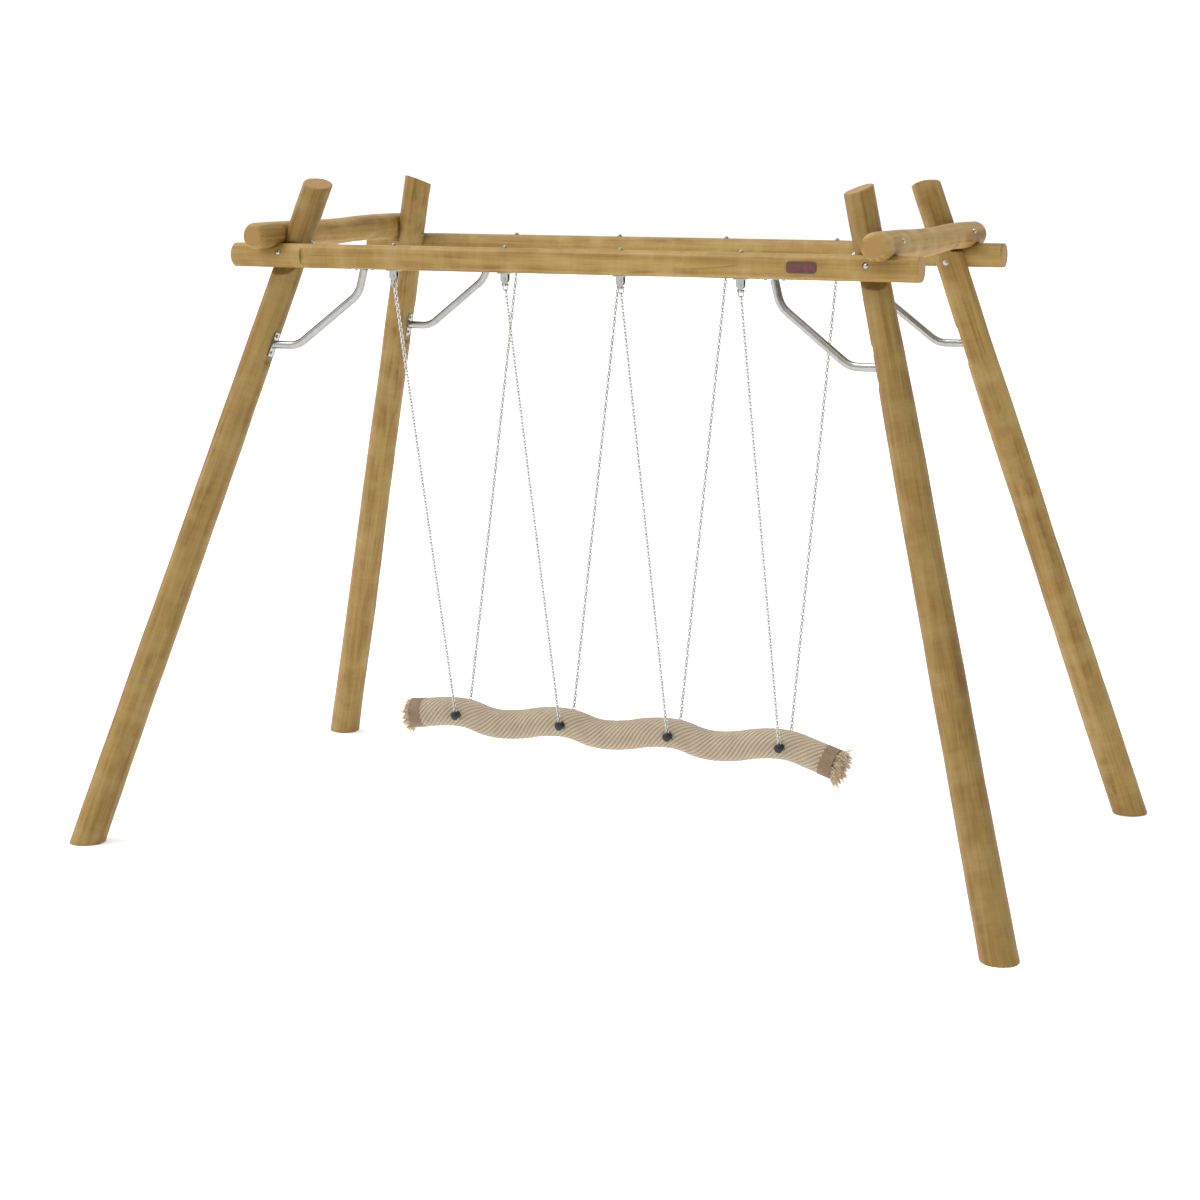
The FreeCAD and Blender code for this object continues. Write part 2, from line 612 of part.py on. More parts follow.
def chain(x, sy):
    top, bottom, down = chain_line(x, sy)
    first = top + down * (SHACKLE_L + SHACKLE_HALF_W - SHACKLE_WIRE_R - LINK_WIRE_R - LINK_GAP)
    run = (bottom - first).Length - 2 * LINK_WIRE_R - LINK_GAP
    count = 2 * round((run / LINK_PITCH - 1) / 2) + 1
    step = run / count
    one_link = link(step + LINK_GAP)
    in_plane = ALONG.cross(down)
    return [placed(one_link, first + down * (step * i), down * -1, in_plane if i % 2 == 0 else ALONG)
            for i in range(count)]


def seat_eye(x, sy, bore_gap):
    centre = point(x, sy * SEAT_EYE_Y - SEAT_EYE_T / 2, SEAT_Z)
    rise = UP * SEAT_EYE_RISE
    waist = 2 * SEAT_EYE_TOP_R
    plate = disc(SEAT_EYE_R, SEAT_EYE_T, centre, ACROSS)
    plate = plate.fuse([disc(SEAT_EYE_TOP_R, SEAT_EYE_T, centre + rise, ACROSS),
                        block(waist, SEAT_EYE_T, SEAT_EYE_RISE, centre + ACROSS * SEAT_EYE_T / 2, UP, ALONG)])
    holes = [disc(SEAT_BOLT_R + bore_gap, SEAT_EYE_T, centre, ACROSS),
             disc(SEAT_EYE_HOLE_R, SEAT_EYE_T, centre + rise, ACROSS)]
    return plate.cut(holes).removeSplitter()


# Rope seat: a thick rope in shallow waves, with bound and frayed ends, on four bolts

def rope_wave(run):
    """Radius and half angle of the two arcs that take the rope from a crest to a dip over this run."""
    radius = ((run / 2) ** 2 + (ROPE_SAG / 2) ** 2) / ROPE_SAG
    return radius, math.asin(run / 2 / radius)


def rope_arc(x, side, radius, start, end):
    """An arc over a crest (side 1) or in a dip (side -1), between two angles from its middle."""
    z = SEAT_Z - radius if side > 0 else SEAT_Z - ROPE_SAG + radius
    at = [point(x + radius * math.sin(a), 0, z + side * radius * math.cos(a)) for a in (start, (start + end) / 2, end)]
    return arc_edge(*at)


def rope_end(side):
    """Where the wave ends, the outward direction of the straight end, and its length to the band's end."""
    run = FALL_RUN if side > 0 else HANGER_SPACING - FALL_RUN
    overhang = RIGHT_OVERHANG if side > 0 else LEFT_OVERHANG
    radius, _ = rope_wave(run)
    slope = math.radians(RIGHT_END_SLOPE if side > 0 else LEFT_END_SLOPE)
    bolt_x = HANGER_XS[-1] * side
    start = point(bolt_x - CREST_LEAD + side * radius * math.sin(slope), 0, SEAT_Z - radius * (1 - math.cos(slope)))
    outward = point(side * math.cos(slope), 0, -math.sin(slope))
    length = (side * (bolt_x - start.x) + overhang) / math.cos(slope)
    return start, outward, length


def rope_path():
    fall_r, fall_half = rope_wave(FALL_RUN)
    rise_r, rise_half = rope_wave(HANGER_SPACING - FALL_RUN)
    left_start, left_out, left_length = rope_end(-1)
    right_start, right_out, right_length = rope_end(1)
    edges = [Part.makeLine(left_start + left_out * left_length, left_start)]
    for i, bolt_x in enumerate(HANGER_XS):
        crest = bolt_x - CREST_LEAD
        before = math.radians(LEFT_END_SLOPE) if i == 0 else rise_half
        after = math.radians(RIGHT_END_SLOPE) if i == 3 else fall_half
        edges += [rope_arc(crest, 1, rise_r, -before, 0), rope_arc(crest, 1, fall_r, 0, after)]
        if i < 3:
            dip = crest + FALL_RUN
            edges += [rope_arc(dip, -1, fall_r, -fall_half, 0), rope_arc(dip, -1, rise_r, 0, rise_half)]
    edges.append(Part.makeLine(right_start, right_start + right_out * right_length))
    return edges


def seat_cutters(x):
    bolt = disc(SEAT_BOLT_R, 4 * ROPE_R, point(x, -2 * ROPE_R, SEAT_Z), ACROSS)
    spots = [disc(SEAT_WASHER_R, ROPE_R, point(x, side * SEAT_WASHER_Y, SEAT_Z), ACROSS * side) for side in (-1, 1)]
    return [bolt] + spots


def rope_body():
    rope = swept(rope_path(), ROPE_R)
    cutters = []
    for x in HANGER_XS:
        cutters += seat_cutters(x)
    return rope.cut(cutters)


def end_band(side):
    start, outward, length = rope_end(side)
    inner_end = start + outward * (length - BAND_L)
    return disc(ROPE_R + BAND_T, BAND_L, inner_end, outward).cut(disc(ROPE_R, BAND_L, inner_end, outward))


def frayed_end(side):
    start, outward, length = rope_end(side)
    fray_l = RIGHT_FRAY_L if side > 0 else LEFT_FRAY_L
    return Part.makeCone(FRAY_ROOT_R, FRAY_TIP_R, fray_l, start + outward * length, outward)


def seat_bolt(x):
    end = CAP_Y + CAP_H - CAP_COVER
    return rod(SEAT_BOLT_R, point(x, -end, SEAT_Z), point(x, end, SEAT_Z))


def seat_fittings(x, radius, thickness, y):
    """A washer or spacer on each side of the rope, which starts at y."""
    return [washer(radius, SEAT_BOLT_R, thickness, point(x, side * y, SEAT_Z), ACROSS * side) for side in (-1, 1)]


def seat_caps(x):
    depth = CAP_H - CAP_COVER
    return [dome(CAP_R, CAP_H, SEAT_BOLT_R, depth, point(x, side * CAP_Y, SEAT_Z), ACROSS * side) for side in (-1, 1)]


# Name plate: a rounded plaque with a raised blank inlay, on the front beam's planed face

LABEL_FACE_Y = -BEAM_Y - BEAM_R + FRONT_FACE_DEPTH


def label_screw_xs():
    inset = (LABEL_L + INLAY_L) / 4
    return [LABEL_X - inset, LABEL_X + inset]


def label_screw_hole(x):
    return disc(LABEL_SCREW_R, LABEL_SCREW_L, point(x, LABEL_FACE_Y - LABEL_T, BEAM_Z), ACROSS)


def label_plate():
    plate = block(LABEL_L, LABEL_H, LABEL_T, point(LABEL_X, LABEL_FACE_Y, BEAM_Z), ACROSS * -1, ALONG)
    corners = [edge for edge in plate.Edges if abs(edge.tangentAt(edge.FirstParameter).y) > 0.99]
    plate = plate.makeFillet(LABEL_CORNER_R, corners)
    return plate.cut([label_screw_hole(x) for x in label_screw_xs()])


def label_inlay():
    inlay = block(INLAY_L, INLAY_H, INLAY_T, point(LABEL_X, LABEL_FACE_Y - LABEL_T, BEAM_Z), ACROSS * -1, ALONG)
    corners = [edge for edge in inlay.Edges if abs(edge.tangentAt(edge.FirstParameter).y) > 0.99]
    return inlay.makeFillet(LABEL_CORNER_R / 2, corners)


def label_screw(x):
    start = point(x, LABEL_FACE_Y - LABEL_T, BEAM_Z)
    shank = disc(LABEL_SCREW_R, LABEL_SCREW_L, start, ACROSS)
    head = dome(LABEL_SCREW_HEAD_R, LABEL_SCREW_HEAD_H, LABEL_SCREW_R / 2, LABEL_SCREW_HEAD_H / 4, start, ACROSS * -1)
    return shank.fuse(head).removeSplitter()


os.makedirs("parts", exist_ok=True)

for sx, sy, corner in CORNERS:
    save(f"leg_{corner}", [leg(sx, sy)])
    save(f"brace_{corner}", [brace_tube(sx, sy)])
save("beam_front", [beam(-1, FRONT_BEAM_ENDS)])
save("beam_rear", [beam(1, REAR_BEAM_ENDS)])
save("cross_log_left", [cross_log(-1, LEFT_LOG_ENDS, LEFT_LOG_BENDS)])
save("cross_log_right", [cross_log(1, RIGHT_LOG_ENDS, RIGHT_LOG_BENDS)])

SIGNS = [(sx, sy) for sx, sy, _ in CORNERS]
save("brace_leg_plates", [leg_plate(*signs) for signs in SIGNS])
save("brace_beam_plates", [beam_plate(*signs) for signs in SIGNS])
save("brace_leg_screws", [plate_screw(line) for signs in SIGNS for line in leg_screw_lines(*signs)])
save("brace_beam_screws", [plate_screw(line) for signs in SIGNS for line in beam_screw_lines(*signs)])
for name, lines, seats in (("leg_beam", beam_bolt_line, beam_bolt_seats), ("cross_log", log_bolt_line, log_bolt_seats)):
    pairs = [(lines(*signs), seats(*signs)) for signs in SIGNS]
    save(f"{name}_bolts", [through_bolt(*pair) for pair in pairs])
    save(f"{name}_nuts", [through_nut(*pair) for pair in pairs])
    save(f"{name}_washers", [one for pair in pairs for one in through_washers(*pair)])

PLACES = [(x, sy) for x in HANGER_XS for sy in (-1, 1)]
save("hanger_brackets", [hanger_bracket(*place) for place in PLACES])
save("hanger_pins", [hanger_pin(*place) for place in PLACES])
save("hanger_bolts", [hanger_bolt(*place) for place in PLACES])
save("hanger_dome_nuts", [hanger_dome_nut(*place) for place in PLACES])
save("hanger_washers", [hanger_washer(*place) for place in PLACES])

for number, x in enumerate(HANGER_XS, 1):
    bore_gap = RUNNING_GAP if number == 2 else OPEN_PIVOT_GAP
    save(f"hanger_eyes_{number}", [hanger_eye(x, -1), hanger_eye(x, 1)])
    save(f"top_shackles_{number}", [top_shackle(x, -1), top_shackle(x, 1)])
    save(f"chain_front_{number}", chain(x, -1))
    save(f"chain_rear_{number}", chain(x, 1))
    save(f"seat_eyes_{number}", [seat_eye(x, -1, bore_gap), seat_eye(x, 1, bore_gap)])

save("rope_body", [rope_body()])
for side, name in ((-1, "left"), (1, "right")):
    save(f"end_band_{name}", [end_band(side)])
    save(f"frayed_end_{name}", [frayed_end(side)])
save("seat_bolts", [seat_bolt(x) for x in HANGER_XS])
save("seat_washers", [one for x in HANGER_XS for one in seat_fittings(x, SEAT_WASHER_R, SEAT_WASHER_T, SEAT_WASHER_Y)])
save("seat_spacers", [one for x in HANGER_XS for one in seat_fittings(x, SPACER_R, SPACER_L, SPACER_Y)])
save("cap_washers", [one for x in HANGER_XS for one in seat_fittings(x, CAP_WASHER_R, CAP_WASHER_T, CAP_WASHER_Y)])
save("seat_caps", [one for x in HANGER_XS for one in seat_caps(x)])
save("label_plate", [label_plate()])
save("label_inlay", [label_inlay()])
save("label_screws", [label_screw(x) for x in label_screw_xs()])
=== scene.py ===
import json
import math
import random

import bmesh
import bpy
import numpy as np
from mathutils import Matrix, Vector, noise


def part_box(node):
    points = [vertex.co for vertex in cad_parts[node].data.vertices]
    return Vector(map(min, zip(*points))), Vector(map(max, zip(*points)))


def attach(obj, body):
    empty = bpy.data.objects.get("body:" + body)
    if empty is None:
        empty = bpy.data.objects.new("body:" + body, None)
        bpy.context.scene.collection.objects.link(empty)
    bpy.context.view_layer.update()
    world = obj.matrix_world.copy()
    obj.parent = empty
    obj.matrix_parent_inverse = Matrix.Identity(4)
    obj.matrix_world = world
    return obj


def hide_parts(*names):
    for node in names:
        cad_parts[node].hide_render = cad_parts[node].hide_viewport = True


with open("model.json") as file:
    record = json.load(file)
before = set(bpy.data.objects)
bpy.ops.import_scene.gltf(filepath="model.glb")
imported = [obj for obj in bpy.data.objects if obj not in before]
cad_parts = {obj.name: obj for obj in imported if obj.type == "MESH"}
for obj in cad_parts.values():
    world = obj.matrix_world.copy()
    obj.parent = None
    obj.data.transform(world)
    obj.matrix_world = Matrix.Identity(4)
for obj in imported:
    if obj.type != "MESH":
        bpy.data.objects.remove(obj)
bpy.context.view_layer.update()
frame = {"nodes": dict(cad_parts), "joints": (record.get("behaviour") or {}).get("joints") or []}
scene = bpy.context.scene


# Studio and camera
# A seamless white floor under a white sky, which dims towards the camera's side, and one
# broad lamp high on the left, so that logs and steel are lit from above and the left.

CAMERA_PLACE = (4.5687, -10.7162, 3.2472)
CAMERA_DOWN = 10.49
CAMERA_LEFT = 23.54
CAMERA_LENS_MM = 76.46
FLOOR_HALF_WIDTH = 60.0
SKY_BRIGHT_SIDE = (-0.67, 0.34, 0.66)
SKY_DIM = 0.26
SKY_FULL = 1.06
LAMP_STRENGTH = 2.0
LAMP_SPREAD = 35.0
LAMP_TILT = (26.0, 0.0, -68.0)
FLOOR_GLOW = 0.30
FLOOR_WHITE = "#F6F6F5"
SKY_WHITE = "#FFFFFF"


def linear(hex_colour, alpha=1.0):
    """An sRGB hex colour as the linear RGBA that the shaders want."""
    values = [int(hex_colour[i:i + 2], 16) / 255 for i in (1, 3, 5)]
    return [v / 12.92 if v <= 0.04045 else ((v + 0.055) / 1.055) ** 2.4 for v in values] + [alpha]


def add(tree, kind, links=None, stops=None, **settings):
    """Adds a node, with its settings, its sockets' values or links, and a ramp's stops."""
    node = tree.nodes.new("ShaderNode" + kind)
    for name, value in settings.items():
        setattr(node, name, value)
    for name, value in (links or {}).items():
        if isinstance(value, bpy.types.NodeSocket):
            tree.links.new(value, node.inputs[name])
        else:
            node.inputs[name].default_value = value
    if stops:
        marks = node.color_ramp.elements
        while len(marks) < len(stops):
            marks.new(0.5)
        for mark, (place, colour) in zip(marks, stops):
            mark.position = place
            mark.color = linear(colour)
    return node


def material_for(name):
    """A new material, its tree and its main shader."""
    material = bpy.data.materials.new(name)
    material.use_nodes = True
    tree = material.node_tree
    return material, tree, tree.nodes["Principled BSDF"]


camera = bpy.data.objects.new("camera", bpy.data.cameras.new("camera"))
camera.data.lens = CAMERA_LENS_MM
camera.data.sensor_width = 36.0
camera.data.clip_end = 200.0
camera.location = CAMERA_PLACE
camera.rotation_euler = (math.radians(90.0 - CAMERA_DOWN), 0.0, math.radians(CAMERA_LEFT))
scene.collection.objects.link(camera)
scene.camera = camera
scene.view_settings.view_transform = "Standard"

world = bpy.data.worlds.new("white sky")
world.use_nodes = True
scene.world = world
sky = world.node_tree.nodes["Background"]
sky.inputs["Color"].default_value = linear(SKY_WHITE)
gaze = add(world.node_tree, "TexCoord").outputs["Generated"]
bright_side = add(world.node_tree, "VectorMath", {0: gaze, 1: SKY_BRIGHT_SIDE},
                  operation="DOT_PRODUCT").outputs["Value"]
sky_level = add(world.node_tree, "MapRange", {"Value": bright_side, "From Min": -0.7, "From Max": 0.42,
                                              "To Min": SKY_DIM, "To Max": SKY_FULL},
                interpolation_type="SMOOTHSTEP").outputs[0]
world.node_tree.links.new(sky_level, sky.inputs["Strength"])

lamp = bpy.data.objects.new("broad lamp", bpy.data.lights.new("broad lamp", "SUN"))
lamp.data.energy = LAMP_STRENGTH
lamp.data.angle = math.radians(LAMP_SPREAD)
lamp.rotation_euler = [math.radians(angle) for angle in LAMP_TILT]
scene.collection.objects.link(lamp)

floor_mesh = bpy.data.meshes.new("floor")
edge = FLOOR_HALF_WIDTH
floor_mesh.from_pydata([(-edge, -edge, 0), (edge, -edge, 0), (edge, edge, 0), (-edge, edge, 0)], [], [(0, 1, 2, 3)])
floor = bpy.data.objects.new("floor", floor_mesh)
scene.collection.objects.link(floor)
floor_paint, _, floor_shader = material_for("white floor")
floor_shader.inputs["Base Color"].default_value = linear(FLOOR_WHITE)
floor_shader.inputs["Roughness"].default_value = 0.9
floor_shader.inputs["Emission Color"].default_value = linear(SKY_WHITE)
floor_shader.inputs["Emission Strength"].default_value = FLOOR_GLOW
floor_mesh.materials.append(floor_paint)


# Logs: four legs, two beams and two cross logs
# Debarked robinia stems, sanded and oiled: a grown shape with swells and hollows, long
# orange-brown streaks, a few knots and drying checks, and paler sawn ends with rings.

LOG_CELL = 0.0055  # the distance between the points of a log's surface
STREAK_WIDTH_MM = 34.0
GRAIN_WIDTH_MM = 5.0  # real grain is 1 to 2 mm, too fine to show here
CHECK_SPACING_MM = 80.0
MOTTLE_MM = 120.0
RING_SPACING_MM = 6.0
CHATTER_MM = 16.0
WOOD_STREAKS = [(0.30, "#7B5925"), (0.43, "#8B6C32"), (0.55, "#96773C"), (0.72, "#A18448")]
WOOD_PALE = "#AA9159"
WOOD_CHECK = "#6B4F27"
WOOD_KNOT = "#765428"
END_LIGHT = "#9E7D48"
END_DARK = "#8C6A36"


def per_metre(millimetres):
    return 1000.0 / millimetres


def oiled_robinia():
    """Oiled, sanded robinia: satin, with streaks that run along the stem and rings on the sawn ends."""
    material, tree, shader = material_for("oiled robinia log")
    place = add(tree, "Attribute", attribute_name="log_place").outputs["Vector"]
    ends = add(tree, "Attribute", attribute_name="sawn_end").outputs["Fac"]
    long_place = add(tree, "VectorMath", {0: place, 1: (1, 1, 0.035)}, operation="MULTIPLY").outputs[0]
    streak = add(tree, "TexNoise", {"Vector": long_place, "Scale": per_metre(STREAK_WIDTH_MM), "Detail": 3.0,
                                    "Roughness": 0.55, "Distortion": 0.4}).outputs["Fac"]
    grain = add(tree, "TexNoise", {"Vector": long_place, "Scale": per_metre(GRAIN_WIDTH_MM), "Detail": 4.0,
                                   "Roughness": 0.65}).outputs["Fac"]
    mottle = add(tree, "TexNoise", {"Vector": place, "Scale": per_metre(MOTTLE_MM), "Detail": 2.0}).outputs["Fac"]
    chatter_place = add(tree, "VectorMath", {0: place, 1: (0.12, 0.12, 1)}, operation="MULTIPLY").outputs[0]
    chatter = add(tree, "TexNoise", {"Vector": chatter_place, "Scale": per_metre(CHATTER_MM), "Detail": 3.0,
                                     "Roughness": 0.6}).outputs["Fac"]
    base = add(tree, "ValToRGB", {"Fac": streak}, stops=WOOD_STREAKS).outputs["Color"]
    pale_share = add(tree, "MapRange", {"Value": mottle, "From Min": 0.42, "From Max": 0.72, "To Max": 0.55}).outputs[0]
    pale = add(tree, "Mix", {"Factor": pale_share, 6: base, 7: linear(WOOD_PALE)}, data_type="RGBA").outputs[2]
    grain_shade = add(tree, "MapRange", {"Value": grain, "From Min": 0.25, "From Max": 0.75, "To Min": 0.86,
                                         "To Max": 1.10}).outputs[0]
    chatter_shade = add(tree, "MapRange", {"Value": chatter, "From Min": 0.3, "From Max": 0.7, "To Min": 0.93,
                                           "To Max": 1.05}).outputs[0]
    shade = add(tree, "Math", {0: grain_shade, 1: chatter_shade}, operation="MULTIPLY").outputs[0]
    # Each log's brightness factor: partly the stem's own tone, partly painted shade that darkens the front legs.
    tone = add(tree, "Attribute", attribute_name="stem_tone").outputs["Fac"]
    shade = add(tree, "Math", {0: shade, 1: tone}, operation="MULTIPLY").outputs[0]
    grained = add(tree, "VectorMath", {0: pale, "Scale": shade}, operation="SCALE").outputs[0]

    # Drying checks: thin dark lines where a long, slow pattern crosses its middle value
    check_place = add(tree, "VectorMath", {0: place, 1: (1, 1, 0.045)}, operation="MULTIPLY").outputs[0]
    check = add(tree, "TexNoise", {"Vector": check_place, "Scale": per_metre(CHECK_SPACING_MM), "Detail": 2.0,
                                   "Distortion": 0.3}).outputs["Fac"]
    from_middle = add(tree, "Math", {0: check, 1: 0.5}, operation="SUBTRACT").outputs[0]
    off_middle = add(tree, "Math", {0: from_middle}, operation="ABSOLUTE").outputs[0]
    on_check = add(tree, "MapRange", {"Value": off_middle, "From Min": 0.004, "From Max": 0.016, "To Min": 0.45,
                                      "To Max": 0.0}).outputs[0]
    in_patch = add(tree, "MapRange", {"Value": mottle, "From Min": 0.56, "From Max": 0.44}).outputs[0]
    check_share = add(tree, "Math", {0: on_check, 1: in_patch}, operation="MULTIPLY").outputs[0]
    checked = add(tree, "Mix", {"Factor": check_share, 6: grained, 7: linear(WOOD_CHECK)},
                  data_type="RGBA").outputs[2]

    # Knots: a few small ovals, dark at the rim
    knot_place = add(tree, "VectorMath", {0: place, 1: (6.5, 6.5, 3.0)}, operation="MULTIPLY").outputs[0]
    knot = add(tree, "TexVoronoi", {"Vector": knot_place, "Scale": 1.0}).outputs
    knot_share = add(tree, "ValToRGB", {"Fac": knot["Distance"]},
                     stops=[(0.0, "#8A8A8A"), (0.045, "#909090"), (0.07, "#D8D8D8"), (0.10, "#000000")]).outputs["Color"]
    knot_draw = add(tree, "SeparateXYZ", {0: knot["Color"]}).outputs[0]
    knot_here = add(tree, "Math", {0: knot_draw, 1: 0.62}, operation="GREATER_THAN").outputs[0]
    knot_share = add(tree, "Math", {0: knot_share, 1: knot_here}, operation="MULTIPLY").outputs[0]
    knotted = add(tree, "Mix", {"Factor": knot_share, 6: checked, 7: linear(WOOD_KNOT)}, data_type="RGBA").outputs[2]

    # Sawn ends: growth rings round the pith
    flat_place = add(tree, "VectorMath", {0: place, 1: (1, 1, 0)}, operation="MULTIPLY").outputs[0]
    from_pith = add(tree, "VectorMath", {0: flat_place}, operation="LENGTH").outputs["Value"]
    uneven = add(tree, "MapRange", {"Value": mottle, "To Min": -0.012, "To Max": 0.012}).outputs[0]
    ring_place = add(tree, "Math", {0: from_pith, 1: uneven}, operation="ADD").outputs[0]
    ring_turn = add(tree, "Math", {0: ring_place, 1: 2 * math.pi * per_metre(RING_SPACING_MM)},
                    operation="MULTIPLY").outputs[0]
    ring_wave = add(tree, "Math", {0: ring_turn}, operation="SINE").outputs[0]
    ring_share = add(tree, "MapRange", {"Value": ring_wave, "From Min": -1.0, "To Max": 0.8}).outputs[0]
    rings = add(tree, "Mix", {"Factor": ring_share, 6: linear(END_LIGHT), 7: linear(END_DARK)},
                data_type="RGBA").outputs[2]
    colour = add(tree, "Mix", {"Factor": ends, 6: knotted, 7: rings}, data_type="RGBA").outputs[2]
    tree.links.new(colour, shader.inputs["Base Color"])

    rough = add(tree, "MapRange", {"Value": grain, "To Min": 0.52, "To Max": 0.72}).outputs[0]
    tree.links.new(rough, shader.inputs["Roughness"])
    shader.inputs["Specular IOR Level"].default_value = 0.35
    height = add(tree, "Math", {0: grain, 1: check_share}, operation="SUBTRACT").outputs[0]
    bump = add(tree, "Bump", {"Height": height, "Strength": 0.35, "Distance": 0.0015}).outputs["Normal"]
    tree.links.new(bump, shader.inputs["Normal"])
    return material


def log_frame(start, end):
    """The log's own directions: two across it and one along it."""
    along = (end - start).normalized()
    across = along.cross(Vector((0, 0, 1)) if abs(along.z) < 0.9 else Vector((1, 0, 0))).normalized()
    return across, along.cross(across), along


def welded_surface(node, cell):
    """The CAD node's surface as an even mesh of small cells, with its edges slightly eased."""
    shell = bmesh.new()
    shell.from_mesh(frame["nodes"][node].data)
    bmesh.ops.remove_doubles(shell, verts=shell.verts, dist=1e-5)
    rough_mesh = bpy.data.meshes.new(node + "_shell")
    shell.to_mesh(rough_mesh)
    shell.free()
    rough = bpy.data.objects.new(node + "_shell", rough_mesh)
    scene.collection.objects.link(rough)
    cells = rough.modifiers.new("cells", "REMESH")
    cells.mode = "VOXEL"
    cells.voxel_size = cell
    eased = rough.modifiers.new("eased", "SMOOTH")
    eased.factor = 0.5
    eased.iterations = 2
    mesh = bpy.data.meshes.new_from_object(rough.evaluated_get(bpy.context.evaluated_depsgraph_get()))
    bpy.data.objects.remove(rough)
    return mesh


def show_log(node, mesh, local, sawn, domain, tone):
    """Stores each point's place in its log, its brightness factor (partly the stem's own tone, partly painted shade)
    and the sawn ends, and puts the log in the frame's body.
    """
    mesh.attributes.new("stem_tone", "FLOAT", "POINT").data.foreach_set("value", [tone] * len(mesh.vertices))
    mesh.attributes.new("log_place", "FLOAT_VECTOR", "POINT").data.foreach_set("vector", local.ravel())
    mesh.attributes.new("sawn_end", "FLOAT", domain).data.foreach_set("value", sawn)
    mesh.materials.clear()
    mesh.materials.append(robinia)
    log = bpy.data.objects.new(node + "_log", mesh)
    scene.collection.objects.link(log)
    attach(log, "frame")
    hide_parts(node)


def points_of(mesh, start, turn):
    """The mesh's points, and the same points measured from start along the log's own directions."""
    places = np.empty(len(mesh.vertices) * 3)
    mesh.vertices.foreach_get("co", places)
    places = places.reshape(-1, 3)
    return places, (places - np.array(start[:])) @ turn.T


def grown_log(node, start, end, swell, ripple, seed, tone, round_end=0.0):
    """A log with its machined notches and flats, swollen and hollowed as a stem grows."""
    mesh = welded_surface(node, LOG_CELL)
    turn = np.array([direction[:] for direction in log_frame(start, end)])
    places, local = points_of(mesh, start, turn)
    normals = np.empty(len(mesh.vertices) * 3)
    mesh.vertices.foreach_get("normal", normals)
    normals = normals.reshape(-1, 3)
    sawn = np.clip((np.abs(normals @ turn[2]) - 0.72) / 0.15, 0, 1)
    moves = np.array([swell * noise.noise(Vector((a * 5 + seed, b * 5, w * 1.3)))
                      + ripple * noise.noise(Vector((a * 16, b * 16 + seed, w * 6))) for a, b, w in local])
    places += normals * (moves * (1 - sawn))[:, None]
    if round_end:
        near = np.minimum(local[:, 2] - local[:, 2].min(), local[:, 2].max() - local[:, 2])
        shrink = 0.26 * np.clip(1 - near / round_end, 0, 1) ** 2
        axis = np.array(start[:]) + np.outer(local[:, 2], turn[2])
        places += (axis - places) * shrink[:, None]
    places[:, 2] = np.maximum(places[:, 2], 0.0)  # nothing sinks into the ground
    mesh.vertices.foreach_set("co", places.ravel())
    mesh.polygons.foreach_set("use_smooth", [True] * len(mesh.polygons))
    show_log(node, mesh, local + seed, sawn, "POINT", tone)


def planed_log(node, start, end, seed):
    """A log turned to one thickness and planed flat, which keeps its crisp machined edges."""
    mesh = frame["nodes"][node].data.copy()
    turn = np.array([direction[:] for direction in log_frame(start, end)])
    _, local = points_of(mesh, start, turn)
    sawn = []
    for face in mesh.polygons:
        sawn += [1.0 if abs(Vector(turn[2]).dot(face.normal)) > 0.8 else 0.0] * face.loop_total
    show_log(node, mesh, local + seed, sawn, "CORNER", 1.0)


def ends_of(node, share=0.04):
    """The middles of a leg's foot and top, from the outermost points of its surface."""
    points = np.array([v.co for v in frame["nodes"][node].data.vertices])
    low, high = points[:, 2].min(), points[:, 2].max()
    reach = (high - low) * share
    foot = points[points[:, 2] < low + reach]
    top = points[points[:, 2] > high - reach]
    return Vector((foot.min(0) + foot.max(0)) / 2), Vector((top.min(0) + top.max(0)) / 2)


robinia = oiled_robinia()
# Leg brightness factors: partly each stem's own tone, partly painted shade, darkest on the front legs.
for seed, (corner, tone) in enumerate((("front_left", 0.88), ("front_right", 0.80), ("rear_left", 0.94),
                                       ("rear_right", 0.98))):
    foot, top = ends_of("leg_" + corner)
    grown_log("leg_" + corner, foot, top, 0.0055, 0.0014, 3 * seed, tone)
for seed, name in enumerate(("beam_front", "beam_rear")):
    low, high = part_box(name)
    middle = (low + high) / 2
    planed_log(name, Vector((low.x, middle.y, middle.z)), Vector((high.x, middle.y, middle.z)), 20 + seed)
for seed, name in enumerate(("cross_log_left", "cross_log_right")):
    low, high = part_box(name)
    middle = (low + high) / 2
    grown_log(name, Vector((middle.x, low.y, middle.z)), Vector((middle.x, high.y, middle.z)), 0.010, 0.0016,
              31 + seed, 1.06, round_end=0.03)


# Steel: braces, plates, screws, bolts, hangers, shackles and chains
# Stainless steel, drawn and polished to a satin. Fine draw lines and handling marks break
# up the shine, and every piece keeps the shape that it was forged or turned to.

STEEL_TUBE = "#A9A8A5"
STEEL_FITTING = "#AEAEAC"
STEEL_CHAIN = "#C8C8C5"
DRAW_LINE_MM = 3.0  # coarser than real draw lines, which would not show
HANDLING_MM = 22.0


